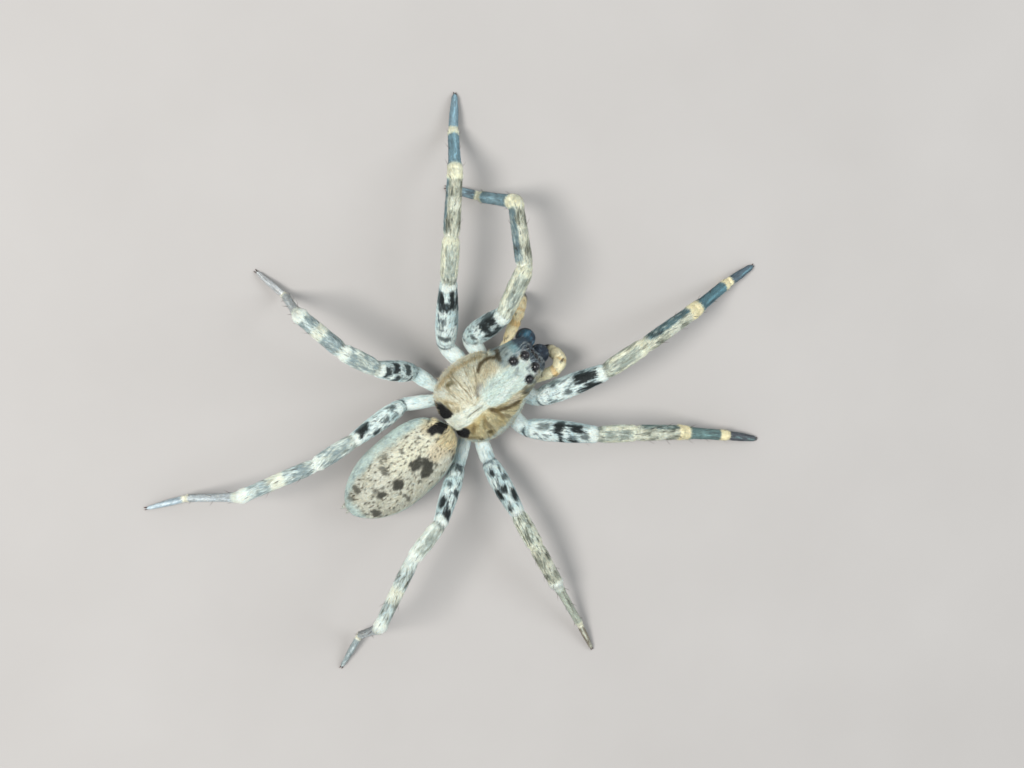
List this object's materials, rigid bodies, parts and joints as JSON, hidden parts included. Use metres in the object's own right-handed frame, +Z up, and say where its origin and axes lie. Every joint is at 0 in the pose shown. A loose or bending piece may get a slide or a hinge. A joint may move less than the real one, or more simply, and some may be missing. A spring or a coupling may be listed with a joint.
{
  "type": "wolf spider",
  "caption": "Life-size still model of a mottled buff and grey wolf spider standing with its legs spread, banded legs and dark front feet.",
  "frame": {"origin": "bottom centre of the whole spider's box, on the plane its feet stand on", "axes": "+X from the abdomen to the head, +Y the spider's left, +Z up"},
  "size_m": [0.052, 0.0448, 0.0086],
  "materials": {
    "hide": "matt, short dense hair, buff with black flecks",
    "pale_hide": "matt, short dense hair, pale grey with black bands",
    "dark_hide": "matt, short dense hair, blue black",
    "horn": "smooth dark horn",
    "eye": "polished, nearly black"
  },
  "bodies": {
    "root": {"abdomen": "hide", "carapace": "hide", "chelicera_l": "dark_hide", "chelicera_r": "dark_hide", "eye_front_lateral_l": "eye", "eye_front_lateral_r": "eye", "eye_front_median_l": "eye", "eye_front_median_r": "eye", "eye_lateral_l": "eye", "eye_lateral_r": "eye", "eye_median_l": "eye", "eye_median_r": "eye", "fang_l": "horn", "fang_r": "horn", "labium": "dark_hide", "leg1_l_femur": "pale_hide", "leg1_l_metatarsus": "dark_hide", "leg1_l_tarsus": "dark_hide", "leg1_l_tibia": "hide", "leg1_r_femur": "pale_hide", "leg1_r_metatarsus": "dark_hide", "leg1_r_tarsus": "dark_hide", "leg1_r_tibia": "hide", "leg2_l_femur": "pale_hide", "leg2_l_metatarsus": "dark_hide", "leg2_l_tarsus": "dark_hide", "leg2_l_tibia": "hide", "leg2_r_femur": "pale_hide", "leg2_r_metatarsus": "dark_hide", "leg2_r_tarsus": "dark_hide", "leg2_r_tibia": "hide", "leg3_l_femur": "pale_hide", "leg3_l_metatarsus": "pale_hide", "leg3_l_tarsus": "pale_hide", "leg3_l_tibia": "pale_hide", "leg3_r_femur": "pale_hide", "leg3_r_metatarsus": "pale_hide", "leg3_r_tarsus": "pale_hide", "leg3_r_tibia": "pale_hide", "leg4_l_femur": "pale_hide", "leg4_l_metatarsus": "pale_hide", "leg4_l_tarsus": "pale_hide", "leg4_l_tibia": "pale_hide", "leg4_r_femur": "pale_hide", "leg4_r_metatarsus": "pale_hide", "leg4_r_tarsus": "pale_hide", "leg4_r_tibia": "pale_hide", "palp_l_femur": "hide", "palp_l_tarsus": "dark_hide", "palp_l_tibia": "hide", "palp_r_femur": "hide", "palp_r_tarsus": "dark_hide", "palp_r_tibia": "hide", "pedicel": "pale_hide", "spinnerets": "pale_hide", "sternum": "pale_hide"}
  },
  "joints": []
}
